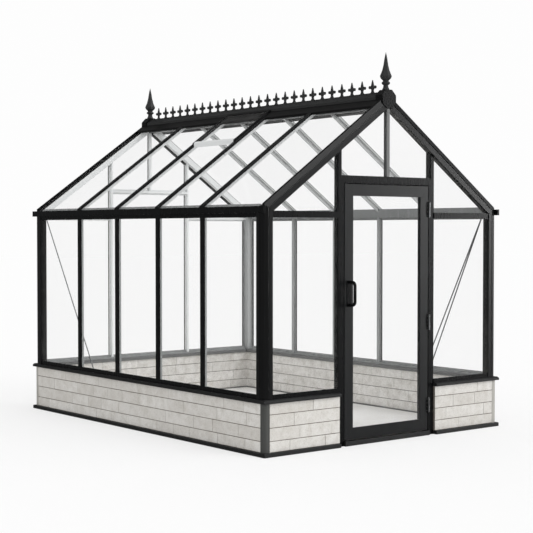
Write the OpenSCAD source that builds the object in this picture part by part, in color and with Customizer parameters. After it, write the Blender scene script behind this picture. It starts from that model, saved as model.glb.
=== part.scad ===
/* [Base] */
// Outer width of the base rail, across the gables
base_w = 2500; // [2300:10:3000]
// Outer length of the base rail, along the ridge
base_l = 3400; // [3200:10:4200]
// Height of the base rail
base_h = 30; // [26:1:40]
// Width of the base rail and of the cap on the plinth
rail_w = 111; // [104:1:130]
// Height of the brick plinth between the base rail and the cap
plinth_h = 354; // [280:2:420]
// Thickness of the plinth wall
plinth_t = 75; // [60:1:84]
// Setback of the plinth from the edge of the base rail
plinth_inset = 18; // [12:1:24]
// Width of the rounded metal posts at the plinth's corners
plinth_post_w = 48; // [36:1:56]
// Height of the cap on the plinth
cap_h = 28; // [20:1:36]
// Bevel along the outer top edge of the cap
cap_bevel = 10; // [4:1:16]
// Thickness of the floor slab
slab_t = 24; // [16:1:26]

/* [Frame] */
// Setback of the long walls' posts from the edge of the base rail
side_inset = 20; // [16:1:30]
// Setback of the gables' faces from the edge of the base rail
end_inset = 28; // [24:1:34]
// Width of a corner post on the gable
post_w = 84; // [74:1:96]
// Width of a corner post on the long wall
post_d = 90; // [80:1:110]
// Width of the bevel beside the outer arris of posts and rafters
bevel_run = 36; // [20:1:44]
// Depth of that bevel at the arris
bevel_drop = 9; // [4:1:14]
// Width and depth of the groove beside that bevel
groove_w = 4; // [2:0.5:6]
// Depth of the glass behind the faces of the posts
glass_set = 22; // [19:1:28]
// How far a face plate laps over the edge of a pane
lap = 14; // [10:1:16]
// Depth of the glazing bars from the posts' faces to the inside
frame_depth = 48; // [42:1:60]
// Setback of the glazing bars' faces from the posts' faces
bar_recess = 5; // [3:1:8]
// Width of a glazing bar's face plate
bar_w = 46; // [40:1:54]
// Thickness of a glazing bar's web
web_t = 16; // [12:1:18]
// Spacing of the glazing bars along the walls and the roof
bar_pitch = 606; // [560:2:640]
// Height of the sill's lip above the cap
sill_h = 31; // [26:1:40]
// Height of the sill's ledge that carries the panes
ledge_h = 13; // [9:1:18]

/* [Glass] */
// Thickness of the panes
glass_t = 4; // [3:1:6]
// Clearance round the edges of the panes
pane_gap = 2; // [1:0.5:3]
// Space for the seal on each face of a pane
seal_t = 0.2; // [0.2:0.1:0.8]

/* [Roof] */
// Slope of the roof in degrees
roof_pitch = 35.2; // [30:0.2:42]
// Height of the underside of the eaves above the ground
eave_h = 1720; // [1640:5:1800]
// Height of the lip under the eave beam and the gutter
eave_lip_h = 32; // [26:1:40]
// Height from the underside of the eaves to the roof line at the posts
roof_line_h = 98; // [92:1:120]
// Height of the transoms across the gables at the eaves
transom_h = 48; // [40:1:60]
// Width of the gable rafters' faces
rafter_w = 95; // [84:1:105]
// Width of the face plate of the bars under the gables' peaks
king_w = 28; // [26:1:36]
// Thickness of those bars' webs
king_web_t = 16; // [12:1:18]
// Distance of the rear gable's uprights from its middle
rear_x = 438; // [400:1:470]
// Height of the middle of the rear gable's cross bar above the underside of the eaves
rear_rise = 275; // [220:1:300]
// Width of the gutter
gutter_w = 20; // [18:1:26]
// Height of the gutter
gutter_h = 48; // [40:1:56]
// Thickness of the gutter's walls
gutter_t = 4; // [3:0.5:5]
// Overhang of the gutter past the gables
gutter_over = 20; // [10:1:24]
// Length of the roof vent from the ridge, measured level
vent_run = 382; // [300:2:460]
// Width of the vent sash's bars
sash_w = 18; // [14:1:26]
// Thickness of the vent sash
sash_t = 14; // [10:1:18]

/* [Ridge] */
// Thickness of the ridge beam
ridge_beam_w = 60; // [50:1:70]
// Height of the ridge beam
ridge_beam_h = 77; // [66:1:90]
// Width of the ridge cap
ridge_cap_w = 132; // [120:2:140]
// Width of the ridge cap's flat top
ridge_top_w = 52; // [40:2:60]
// Height of the ridge cap's upright sides
ridge_side_h = 36; // [28:1:42]
// Height of the ridge cap's sloping shoulders
ridge_shoulder_h = 31; // [24:1:38]
// Space between the ridge cap and the roof panes
ridge_clear = 6; // [4:1:9]
// Level width of the flashing below each side of the ridge cap
flash_w = 80; // [40:2:100]
// Width of the octagonal ridge ends across their flats
ridge_end_w = 146; // [136:2:160]
// Depth of the ridge ends' middle below the roof's apex
ridge_end_drop = 50; // [44:1:56]
// How far the ridge ends stand out from the gables
ridge_end_proud = 5; // [4:1:14]
// Number of spikes along the cresting
spike_n = 26; // [18:1:30]
// Distance of the cresting's first and last cells from the ridge ends
crest_gap = 48; // [14:1:80]
// Height of a cresting spike
spike_h = 112; // [96:1:130]
// Thickness of the cresting
crest_t = 10; // [6:1:14]
// Height of the band along the foot of the cresting
crest_band = 12; // [8:1:18]
// Half the width of a spike's stem
stem_half = 10; // [7:0.5:12]
// Half the width of a spike's spear head
spear_half = 15; // [12:0.5:18]
// Thickness of a spike's cross arms
arm_t = 16; // [12:1:18]
// Radius of the knobs at the ends of the cross arms
arm_knob_r = 12; // [9.5:0.5:14]
// Height of a finial
finial_h = 291; // [240:1:340]
// Widest diameter of a finial
finial_d = 98; // [80:1:110]

/* [Door] */
// Half width of the doorway between the jambs
door_half = 452; // [420:1:480]
// Width of the jambs' faces
jamb_w = 56; // [50:1:66]
// Setback of the jambs and the door from the posts' faces
jamb_recess = 12; // [8:1:16]
// Depth of the jambs and the door head from the posts' faces to the inside
jamb_depth = 75; // [72:1:90]
// Width of the uprights' faces above the door head
peak_w = 32; // [30:1:40]
// Thickness of the webs behind those faces
peak_web_t = 12; // [10:1:14]
// Width of the stops behind the edges of the door leaf
stop_w = 14; // [10:1:20]
// Clearance between the leaf's back and the stops
stop_gap = 5; // [5:0.5:7]
// Height of the underside of the door head above the underside of the eaves
head_rise = 262; // [200:2:300]
// Height of the door head
head_h = 58; // [50:1:70]
// Height of the threshold
threshold_h = 36; // [30:1:50]
// Clearance all round the door leaf
door_gap = 7; // [6:0.5:9]
// Width of the leaf's stiles and rails
stile_w = 88; // [76:1:100]
// Thickness of the leaf
leaf_t = 44; // [38:1:50]
// Depth of the leaf's pane behind its face
leaf_glass_set = 17; // [12:1:22]
// Height of each hinge
hinge_h = 120; // [90:2:150]
// Radius of the hinge knuckles
knuckle_r = 7; // [6:0.5:8]
// Radius of the hinge pins
pin_r = 3.5; // [3:0.25:4]
// Thickness of the hinge plates
hinge_plate_t = 3; // [2:0.5:4]
// Width of a hinge plate
hinge_plate_w = 22; // [18:1:30]
// Height of the lowest hinge's middle above the leaf's foot
hinge_low = 197; // [120:1:260]
// Height of the middle hinge above the leaf's foot
hinge_mid = 857; // [700:1:1000]
// Depth of the highest hinge's middle below the leaf's top
hinge_high = 185; // [120:1:260]
// Height of the middle of the pull handle
handle_z = 1150; // [1000:5:1250]
// Length of the pull handle between the middles of its arms
handle_l = 172; // [150:2:240]
// Distance from the leaf's face to the middle of the handle's grip
handle_reach = 68; // [55:1:85]
// Thickness of the pull handle's bar
handle_d = 24; // [18:1:26]
// Radius of the handle's bends
handle_bend = 28; // [20:1:36]
// Width of the plate under the pull handle
handle_plate_w = 44; // [36:1:52]
// Thickness of that plate
handle_plate_t = 5; // [3:0.5:8]

/* [Stays] */
// Level run of the stay in the left wall, from the rear post
left_stay_run = 830; // [700:5:1100]
// Level run of the stay in the right wall, from the front post
right_stay_run = 600; // [450:5:700]
// Distance between the feet of that stay's two bars
stay_split = 66; // [40:1:90]
// Width of a stay
stay_w = 10; // [8:1:16]
// Thickness of a stay
stay_t = 4; // [3:0.5:6]
// Radius of the stays' bolted ends
stay_end_r = 12; // [9:1:12]

/* [Hidden] */

frame_black = "#1d1e1f";
brick_pale = "#d9d5cc";
trim_grey = "#3a3b3c";
glass_tint = "#d6e4e6";
slab_grey = "#c9c7c2";
hinge_grey = "#77797a";

// Sides of the round shapes
$fn = 48;
// Half length of a cross arm as a share of the spikes' spacing
arm_share = 0.247;
// Length by which a cutter passes what it cuts
past = 20;

half_w = base_w / 2;
half_l = base_l / 2;
frame_x = half_w - side_inset;
frame_y = half_l - end_inset;
plinth_z = base_h;
cap_z = plinth_z + plinth_h;
sill_z = cap_z + cap_h;
ledge_z = sill_z + ledge_h;
lip_z = sill_z + sill_h;
beam_z = eave_h + eave_lip_h - ledge_h;
core_w = post_w - lap;
core_d = post_d - lap;
wall_end = frame_y - post_d;

// Depths behind the faces of the posts: the pane's own face, and the seat behind its seal
pane_set = glass_set + seal_t;
glass_back = pane_set + glass_t + seal_t;

// Roof line: its height over the place x, at a depth below it that is measured square to the slope
slope = tan(roof_pitch);
line_z = eave_h + roof_line_h;
apex_z = line_z + slope * frame_x;
function roof_z(x, depth) = apex_z - slope * abs(x) - depth / cos(roof_pitch);

bar_ys = [for (i = [0 : 3]) (i - 1.5) * bar_pitch];
web_half = web_t / 2;
bay_edges = concat([-frame_y + core_d - web_half], bar_ys, [frame_y - core_d + web_half]);
bays = [for (i = [0 : 4]) [bay_edges[i] + web_half + pane_gap, bay_edges[i + 1] - web_half - pane_gap]];
vent_bay = 2;
roof_edge = frame_y - glass_set;
function roof_bay(i) = [
  i == 0 ? pane_gap - roof_edge : bays[i][0],
  i == len(bays) - 1 ? roof_edge - pane_gap : bays[i][1]
];

ridge_cap_half = ridge_cap_w / 2;
flash_x = ridge_cap_half + flash_w;
ridge_beam_half = ridge_beam_w / 2;
ridge_skirt_z = roof_z(ridge_cap_half, glass_set) + ridge_clear;
ridge_seat_z = roof_z(ridge_beam_half, glass_set) + ridge_clear;
ridge_top_z = ridge_skirt_z + ridge_side_h + ridge_shoulder_h;
ridge_end_z = apex_z - ridge_end_drop;
ridge_end_l = core_d + ridge_end_proud;
ridge_half_l = frame_y - core_d;
finial_z = ridge_end_z + ridge_end_w / 2;
finial_y = frame_y + ridge_end_proud - ridge_end_l / 2;
vent_foot_x = ridge_cap_half + vent_run;

head_z = eave_h + head_rise;
head_top = head_z + head_h;
jamb_out = door_half + jamb_w;
peak_web_x = jamb_out - lap - peak_web_t;
rear_mid = eave_h + rear_rise;
rear_plate = rear_x + bar_w / 2;
rear_web = rear_x + web_half;
king_half = king_w / 2;
king_web_half = king_web_t / 2;
leaf_half = door_half - door_gap;
leaf_y = -frame_y + jamb_recess;
leaf_bottom = threshold_h + door_gap;
leaf_top = head_z - door_gap;
hinge_zs = [leaf_bottom + hinge_low, leaf_bottom + hinge_mid, leaf_top - hinge_high];
hinge_x = door_half - door_gap / 2;
knuckle_off = 1;
knuckle_relief = 2;
knuckle_gap = 0.5;
pin_clear = 0.1;
hinge_y = leaf_y - knuckle_r - knuckle_off;

// A polygon in the upright plane across the ridge, carried along the ridge from y0 to y1
module across(points, y0, y1) {
  translate([0, y1, 0]) rotate([90, 0, 0]) linear_extrude(y1 - y0) polygon(points);
}

// The same shape again on the other side of the ridge, or at the other gable
module both_sides() {
  children();
  mirror([1, 0, 0]) children();
}
module both_ends() {
  children();
  mirror([0, 1, 0]) children();
}

// A block from corner to corner
module block(low, high) {
  translate(low) cube(high - low);
}

// A strip that follows the left roof slope between two places x and two depths
module roof_strip(x0, x1, depth0, depth1, y0, y1) {
  across([
    [-x0, roof_z(x0, depth0)], [-x1, roof_z(x1, depth0)],
    [-x1, roof_z(x1, depth1)], [-x0, roof_z(x0, depth1)]
  ], y0, y1);
}

// A bar of the front gable that stands on z0 and ends under the right rafter
module gable_bar(x0, x1, z0, depth, v0, v1) {
  across([[x0, z0], [x1, z0], [x1, roof_z(x1, depth)], [x0, roof_z(x0, depth)]], -frame_y + v0, -frame_y + v1);
}

// Plan of a rail along the left side with mitred ends: setback, width, half length
module left_rail_plan(inset, w) {
  polygon([
    [-half_w + inset, -half_l + inset], [-half_w + inset + w, -half_l + inset + w],
    [-half_w + inset + w, half_l - inset - w], [-half_w + inset, half_l - inset]
  ]);
}
module rear_rail_plan(inset, w) {
  polygon([
    [-half_w + inset, half_l - inset], [-half_w + inset + w, half_l - inset - w],
    [half_w - inset - w, half_l - inset - w], [half_w - inset, half_l - inset]
  ]);
}
module front_rail_plan(inset, w) {
  polygon([
    [jamb_out, -half_l + inset], [half_w - inset, -half_l + inset],
    [half_w - inset - w, -half_l + inset + w], [jamb_out, -half_l + inset + w]
  ]);
}

module side_base_rails() {
  color(frame_black) both_sides() linear_extrude(base_h) left_rail_plan(0, rail_w);
}
module end_base_rails() {
  color(frame_black) linear_extrude(base_h) {
    rear_rail_plan(0, rail_w);
    both_sides() front_rail_plan(0, rail_w);
  }
}

// The square at each corner of the plinth that its metal post fills
module corner_square() {
  translate([-half_w + plinth_inset, -half_l + plinth_inset]) square(plinth_post_w);
}
module plinth_wall() {
  color(brick_pale) translate([0, 0, plinth_z]) linear_extrude(plinth_h) difference() {
    children();
    both_sides() both_ends() corner_square();
  }
}
module side_plinths() {
  plinth_wall() both_sides() left_rail_plan(plinth_inset, plinth_t);
}
module end_plinths() {
  plinth_wall() {
    rear_rail_plan(plinth_inset, plinth_t);
    both_sides() front_rail_plan(plinth_inset, plinth_t);
  }
}
module plinth_corner_posts() {
  corner_r = plinth_post_w / 2;
  color(trim_grey) both_sides() both_ends()
    translate([-half_w + plinth_inset, -half_l + plinth_inset, plinth_z]) linear_extrude(plinth_h) {
      translate([corner_r, corner_r]) circle(corner_r);
      translate([corner_r, 0]) square([corner_r, plinth_post_w]);
      translate([0, corner_r]) square([plinth_post_w, corner_r]);
    }
}

// Caps: rails on the plinth with their outer top edges planed off
function planed_edge(edge) = [
  [-edge - past, sill_z + past], [-edge - past, sill_z - cap_bevel - past],
  [-edge, sill_z - cap_bevel], [-edge + cap_bevel, sill_z], [-edge + cap_bevel, sill_z + past]
];
module side_caps() {
  color(frame_black) both_sides() difference() {
    translate([0, 0, cap_z]) linear_extrude(cap_h) left_rail_plan(0, rail_w);
    across(planed_edge(half_w), -base_l, base_l);
  }
}
module end_caps() {
  color(frame_black) difference() {
    translate([0, 0, cap_z]) linear_extrude(cap_h) {
      rear_rail_plan(0, rail_w);
      both_sides() front_rail_plan(0, rail_w);
    }
    both_ends() rotate(90) across(planed_edge(half_l), -base_w, base_w);
  }
}
module floor_slab() {
  inner = [half_w - rail_w, half_l - rail_w];
  color(slab_grey) translate([-inner.x, -inner.y, 0]) cube([2 * inner.x, 2 * inner.y, slab_t]);
}
module threshold() {
  front = -half_l + plinth_inset;
  back = -half_l + rail_w;
  color(frame_black) block([-door_half, front, 0], [door_half, back, threshold_h]);
}

// Sills: a ledge for the panes with a lip in front of them
module side_sills() {
  color(frame_black) both_sides() across([
    [-frame_x + bar_recess, sill_z], [-frame_x + frame_depth, sill_z],
    [-frame_x + frame_depth, ledge_z], [-frame_x + glass_set, ledge_z],
    [-frame_x + glass_set, lip_z], [-frame_x + bar_recess, lip_z]
  ], -wall_end, wall_end);
}
module gable_sill(x0, x1) {
  front = -frame_y + bar_recess;
  glass = -frame_y + glass_set;
  back = -frame_y + frame_depth;
  block([x0, front, sill_z], [x1, glass, lip_z]);
  block([x0, front, sill_z], [x1, back, ledge_z]);
}
module end_sills() {
  color(frame_black) {
    mirror([0, 1, 0]) gable_sill(-frame_x + post_w, frame_x - post_w);
    both_sides() gable_sill(jamb_out, frame_x - post_w);
  }
}

// Section of the corner posts: a bevelled outer arris, a groove beside the bevel on each face, and a step
// for the panes on each inner edge
groove_0 = bevel_drop + bevel_run;
groove_1 = groove_0 + groove_w;
function post_section(face, side) = [
  [bevel_drop, bevel_drop], [groove_0, 0], [groove_0, groove_w], [groove_1, groove_w], [groove_1, 0],
  [face, 0], [face, glass_set], [face - lap, glass_set], [face - lap, side - lap],
  [glass_set, side - lap], [glass_set, side], [0, side],
  [0, groove_1], [groove_w, groove_1], [groove_w, groove_0], [0, groove_0]
];

// Section of the gables' rafters: the same face, with a core behind it that carries the edges of the roof panes
function rafter_section(face, core) = [
  [bevel_drop, bevel_drop], [groove_0, 0], [groove_0, groove_w], [groove_1, groove_w], [groove_1, 0],
  [face, 0], [face, glass_set], [face - lap, glass_set], [face - lap, core],
  [glass_back, core], [glass_back, glass_set], [0, glass_set]
];
mitre_low = roof_z(frame_x - post_w, rafter_w);
mitre_fall = (line_z - mitre_low) / post_w;
module front_left_post() {
  difference() {
    intersection() {
      translate([-frame_x, -frame_y, sill_z]) linear_extrude(apex_z) polygon(post_section(post_w, post_d));
      across([
        [-frame_x - past, sill_z], [-frame_x + post_w + past, sill_z],
        [-frame_x + post_w + past, mitre_low - mitre_fall * past],
        [-frame_x - past, line_z + mitre_fall * past]
      ], -frame_y - past, -wall_end + past);
    }
    roof_strip(frame_x + past, frame_x - post_w, -past, glass_back, -roof_edge, -wall_end + past);
  }
}
module corner_posts() {
  color(frame_black) both_ends() both_sides() front_left_post();
}

// The octagon of the ridge ends, across the ridge
module ridge_octagon(y0, y1, spare = 0) {
  translate([0, y1, ridge_end_z]) rotate([90, 0, 0]) linear_extrude(y1 - y0)
    rotate(22.5) circle(r = (ridge_end_w / 2 + spare) / cos(22.5), $fn = 8);
}
module front_left_rafter() {
  length = frame_x / cos(roof_pitch) + 2 * rafter_w;
  difference() {
    intersection() {
      translate([-frame_x, -frame_y, line_z]) rotate([0, 90 - roof_pitch, 0])
        translate([0, 0, -rafter_w]) linear_extrude(length) polygon(rafter_section(rafter_w, core_d));
      across([
        [-frame_x - past, line_z + mitre_fall * past], [-frame_x + post_w, mitre_low], [0, mitre_low],
        [0, apex_z + past], [-frame_x - past, apex_z + past]
      ], -frame_y - past, -wall_end + past);
    }
    ridge_octagon(-frame_y - past, -wall_end + past);
  }
}
module front_rafters() {
  color(frame_black) both_sides() front_left_rafter();
}
module rear_rafters() {
  color(frame_black) mirror([0, 1, 0]) both_sides() front_left_rafter();
}

// Glazing bars of the long walls: a face plate in front of the panes and a web between them
module wall_bars() {
  color(frame_black) both_sides() for (y = bar_ys) {
    block([-frame_x + bar_recess, y - bar_w / 2, lip_z], [-frame_x + glass_set, y + bar_w / 2, eave_h]);
    block([-frame_x + glass_set, y - web_half, ledge_z], [-frame_x + frame_depth, y + web_half, beam_z]);
  }
}
module eave_beams() {
  seat = glass_back;
  color(frame_black) both_sides() across([
    [-frame_x + bar_recess, eave_h], [-frame_x + glass_set, eave_h], [-frame_x + glass_set, beam_z],
    [-frame_x + frame_depth, beam_z], [-frame_x + frame_depth, roof_z(frame_x - frame_depth, seat)],
    [-frame_x, roof_z(frame_x, seat)], [-frame_x, eave_h + eave_lip_h],
    [-frame_x + bar_recess, eave_h + eave_lip_h]
  ], -wall_end, wall_end);
}

// An open trough along the eaves, closed at both ends
module gutters() {
  outer = -frame_x - gutter_w;
  bottom = eave_h + eave_lip_h;
  rim = bottom + gutter_h;
  end = frame_y + gutter_over;
  back_rim = roof_z(frame_x, glass_back);
  color(frame_black) both_sides() {
    across([
      [outer, bottom], [-frame_x, bottom], [-frame_x, back_rim], [-frame_x - gutter_t, back_rim],
      [-frame_x - gutter_t, bottom + gutter_t], [outer + gutter_t, bottom + gutter_t],
      [outer + gutter_t, rim], [outer, rim]
    ], -end, end);
    both_ends() across([[outer, bottom], [-frame_x, bottom], [-frame_x, rim], [outer, rim]], -end, gutter_t - end);
  }
}

// Glazing bars of the roof, in line with those of the walls; the web is rooted in the face plate
module roof_bars() {
  foot = frame_x - frame_depth;
  root = (bar_recess + glass_set) / 2;
  color(frame_black) both_sides() for (y = bar_ys) {
    roof_strip(frame_x, flash_x, bar_recess, glass_set, y - bar_w / 2, y + bar_w / 2);
    across([
      [-foot, roof_z(foot, frame_depth)], [-foot, roof_z(foot, root)], [-flash_x, roof_z(flash_x, root)],
      [-flash_x, roof_z(flash_x, glass_set)], [-ridge_beam_half, roof_z(ridge_beam_half, glass_set)],
      [-ridge_beam_half, roof_z(ridge_beam_half, frame_depth)]
    ], y - web_half, y + web_half);
  }
}

module ridge_beam() {
  low = ridge_seat_z - ridge_beam_h;
  color(frame_black) block([-ridge_beam_half, -ridge_half_l, low], [ridge_beam_half, ridge_half_l, ridge_seat_z]);
}

// Cap along the ridge, with a flashing below each side that covers the ends of the roof bars
module ridge_cap() {
  shoulder = ridge_skirt_z + ridge_side_h;
  color(frame_black) {
    across([
      [-ridge_cap_half, ridge_skirt_z], [-ridge_beam_half, ridge_seat_z], [ridge_beam_half, ridge_seat_z],
      [ridge_cap_half, ridge_skirt_z], [ridge_cap_half, shoulder], [ridge_top_w / 2, ridge_top_z],
      [-ridge_top_w / 2, ridge_top_z], [-ridge_cap_half, shoulder]
    ], -ridge_half_l, ridge_half_l);
    both_sides() difference() {
      roof_strip(flash_x, ridge_cap_half - lap, bar_recess, glass_set - seal_t, -roof_edge, roof_edge);
      both_ends() ridge_octagon(-frame_y, -ridge_half_l, seal_t);
    }
  }
}
module ridge_ends() {
  front = -frame_y - ridge_end_proud;
  color(frame_black) both_ends() ridge_octagon(front, front + ridge_end_l);
}

// Cresting: spear heads over cross arms, on stems that a row of round-ended openings leaves standing
module crest_opening(cell, low, high) {
  r = (high - low) / 2;
  reach = cell / 2 - stem_half - r;
  translate([0, low + r]) {
    square([2 * reach, 2 * r], center = true);
    for (side = [-1, 1]) translate([side * reach, 0]) circle(r);
  }
}
module crest_spike(cell) {
  arm_z = spike_h / 2;
  arm_top = arm_z + arm_t / 2;
  arm_half = cell * arm_share;
  difference() {
    translate([-arm_half, 0]) square([2 * arm_half, arm_top]);
    for (side = [-1, 1]) translate([side * cell / 2, 0]) crest_opening(cell, crest_band, arm_z - arm_t / 2);
  }
  for (side = [-1, 1]) translate([side * arm_half, arm_z]) circle(arm_knob_r);
  polygon([
    [-stem_half, arm_z - arm_t / 2], [-spear_half, arm_top], [0, spike_h],
    [spear_half, arm_top], [stem_half, arm_z - arm_t / 2]
  ]);
}
module ridge_cresting() {
  half = ridge_half_l - crest_gap;
  cell = 2 * half / spike_n;
  color(frame_black) translate([crest_t / 2, 0, ridge_top_z]) rotate([90, 0, -90]) {
    translate([-wall_end, 0, 0]) cube([2 * wall_end, crest_band, crest_t]);
    for (i = [0 : spike_n - 1]) translate([(i + 0.5) * cell - half, 0, 0])
      linear_extrude(crest_t) crest_spike(cell);
  }
}

// Finial: an eight-sided spear head over a collar and a flared foot
module finials() {
  r = finial_d / 2;
  h = finial_h;
  outline = [
    [0, 0], [0.61 * r, 0], [0.61 * r, 0.014 * h], [0.46 * r, 0.06 * h], [0.40 * r, 0.125 * h],
    [0.62 * r, 0.15 * h], [0.73 * r, 0.18 * h], [0.62 * r, 0.21 * h], [0.46 * r, 0.22 * h], [0.52 * r, 0.25 * h],
    [0.88 * r, 0.31 * h], [r, 0.36 * h], [0.90 * r, 0.40 * h], [0.64 * r, 0.50 * h], [0.42 * r, 0.645 * h],
    [0.26 * r, 0.81 * h], [0.13 * r, 0.915 * h], [0, h]
  ];
  color(frame_black) both_ends() translate([0, -finial_y, finial_z]) rotate(22.5)
    rotate_extrude($fn = 8) polygon(outline);
}

// Front gable round the doorway: the jambs go on above the head as slimmer uprights
jamb_face = -frame_y + jamb_recess;
jamb_glass = -frame_y + glass_set;
jamb_back = -frame_y + jamb_depth;
module door_jambs() {
  color(frame_black) both_sides() {
    block([door_half, jamb_face, 0], [jamb_out, jamb_glass, head_top]);
    block([door_half, jamb_glass, 0], [jamb_out - lap, jamb_back, head_top - lap]);
    gable_bar(jamb_out - peak_w, jamb_out, head_z, rafter_w, jamb_recess, glass_set);
    gable_bar(peak_web_x, jamb_out - lap, head_z, rafter_w - lap, glass_set, jamb_depth);
  }
}
module door_head() {
  color(frame_black) {
    block([-door_half, jamb_face, head_z], [door_half, jamb_glass, head_top]);
    block([-door_half, jamb_glass, head_z], [door_half, jamb_back, head_top - lap]);
  }
}

// Stops on the jambs and under the head, behind the edges of the closed leaf
module door_stops() {
  front = leaf_y + leaf_t + stop_gap;
  inner = door_half - stop_w;
  color(frame_black) {
    both_sides() block([inner, front, threshold_h], [door_half, jamb_back, head_z]);
    block([-inner + pane_gap, front, head_z - stop_w], [inner - pane_gap, jamb_back, head_z]);
  }
}

// A transom across one side bay of the front gable, cut under the rafter
module transom(x0, web_x0) {
  top = eave_h + transom_h;
  mid = eave_h + transom_h / 2;
  end = frame_x - post_w;
  core_end = frame_x - core_w;
  across([
    [x0, eave_h], [end, eave_h], [end, roof_z(end, rafter_w)],
    [(roof_z(0, rafter_w) - top) / slope, top], [x0, top]
  ], -frame_y + bar_recess, -frame_y + glass_set);
  block([web_x0, -frame_y + glass_set, mid - web_half], [core_end, -frame_y + frame_depth, mid + web_half]);
}
module front_transoms() {
  color(frame_black) both_sides() transom(jamb_out, jamb_out - lap);
}
module rear_transoms() {
  color(frame_black) mirror([0, 1, 0]) both_sides() transom(rear_plate, rear_web);
}
module rear_uprights() {
  color(frame_black) mirror([0, 1, 0]) both_sides() {
    gable_bar(rear_plate - bar_w, rear_plate, lip_z, rafter_w, bar_recess, glass_set);
    gable_bar(rear_web - web_t, rear_web, ledge_z, rafter_w - lap, glass_set, frame_depth);
  }
}
module rear_head() {
  face_end = rear_plate - bar_w;
  web_end = rear_web - web_t;
  glass = -frame_y + glass_set;
  color(frame_black) mirror([0, 1, 0]) {
    block([-face_end, -frame_y + bar_recess, rear_mid - bar_w / 2], [face_end, glass, rear_mid + bar_w / 2]);
    block([-web_end, glass, rear_mid - web_half], [web_end, -frame_y + frame_depth, rear_mid + web_half]);
  }
}

// Bar from a gable's head up to the apex, with one foot for its face and another for its web
module king_bar(foot, web_foot) {
  difference() {
    both_sides() {
      gable_bar(0, king_half, foot, rafter_w, bar_recess, glass_set);
      gable_bar(0, king_web_half, web_foot, rafter_w - lap, glass_set, frame_depth);
    }
    ridge_octagon(-frame_y - past, -wall_end);
  }
}
module king_bars() {
  color(frame_black) {
    king_bar(head_top, head_top - lap);
    mirror([0, 1, 0]) king_bar(rear_mid + bar_w / 2, rear_mid + web_half);
  }
}

// Panes
module wall_glass() {
  front = -frame_x + pane_set;
  color(glass_tint, 0.3) both_sides() for (bay = bays)
    block([front, bay[0], ledge_z], [front + glass_t, bay[1], beam_z - pane_gap]);
}

// A pane of the front gable between two places x, from z0 up to z1 or to the rafter
module gable_pane(x0, x1, z0, z1) {
  edge = rafter_w - lap + pane_gap;
  front = -frame_y + pane_set;
  top0 = z1 > 0 ? z1 : roof_z(x0, edge);
  top1 = z1 > 0 ? z1 : roof_z(x1, edge);
  across([[x0, z0], [x1, z0], [x1, top1], [x0, top0]], front, front + glass_t);
}
module side_bay_panes(x0) {
  x1 = frame_x - core_w - pane_gap;
  mid = eave_h + transom_h / 2;
  gable_pane(x0, x1, ledge_z, mid - web_half - pane_gap);
  foot = mid + web_half + pane_gap;
  edge = rafter_w - lap + pane_gap;
  front = -frame_y + pane_set;
  tip_x = min(x1, (roof_z(0, edge) - foot) / slope);
  across([[x0, foot], [tip_x, foot], [tip_x, roof_z(tip_x, edge)], [x0, roof_z(x0, edge)]], front, front + glass_t);
}
// A pane beside the king bar, cut clear of the ridge end
module peak_pane(x1, z0) {
  difference() {
    gable_pane(king_web_half + pane_gap, x1, z0, 0);
    ridge_octagon(-frame_y - past, -wall_end, pane_gap);
  }
}
module front_gable_glass() {
  color(glass_tint, 0.3) both_sides() {
    side_bay_panes(jamb_out - lap + pane_gap);
    peak_pane(peak_web_x - pane_gap, head_top - lap + pane_gap);
  }
}
module rear_gable_glass() {
  inner = rear_web - web_t - pane_gap;
  color(glass_tint, 0.3) mirror([0, 1, 0]) {
    gable_pane(-inner, inner, ledge_z, rear_mid - web_half - pane_gap);
    both_sides() {
      side_bay_panes(rear_web + pane_gap);
      peak_pane(inner, rear_mid + web_half + pane_gap);
    }
  }
}
module roof_pane(i, top_x) {
  bay = roof_bay(i);
  difference() {
    roof_strip(frame_x - pane_gap, top_x, pane_set, pane_set + glass_t, bay[0], bay[1]);
    both_ends() ridge_octagon(-frame_y, -ridge_half_l, pane_gap);
  }
}
module roof_glass() {
  full_top = ridge_beam_half + pane_gap;
  color(glass_tint, 0.3) {
    for (i = [0 : len(bays) - 1]) {
      roof_pane(i, i == vent_bay ? vent_foot_x - sash_w : full_top);
      mirror([1, 0, 0]) roof_pane(i, full_top);
    }
  }
}

// Roof vent: a sash that lies on the two bars beside it and on a sill above the short pane
module roof_vent_sill() {
  half = bar_pitch / 2 - bar_w / 2;
  color(frame_black) roof_strip(vent_foot_x, vent_foot_x - sash_w, bar_recess, glass_set, -half, half);
}
sash_seat = bar_recess - seal_t;
module roof_vent_sash() {
  half = bar_pitch / 2 - pane_gap;
  top = sash_seat - sash_t;
  inner = half - sash_w;
  color(frame_black) difference() {
    roof_strip(vent_foot_x, ridge_cap_half, top, sash_seat, -half, half);
    roof_strip(vent_foot_x - sash_w, ridge_cap_half + sash_w, top - past, sash_seat + past, -inner, inner);
  }
}
module roof_vent_glass() {
  half = bar_pitch / 2 - pane_gap - sash_w;
  mid = sash_seat - sash_t / 2;
  color(glass_tint, 0.3)
    roof_strip(vent_foot_x - sash_w, ridge_cap_half + sash_w, mid - glass_t / 2, mid + glass_t / 2, -half, half);
}

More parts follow.
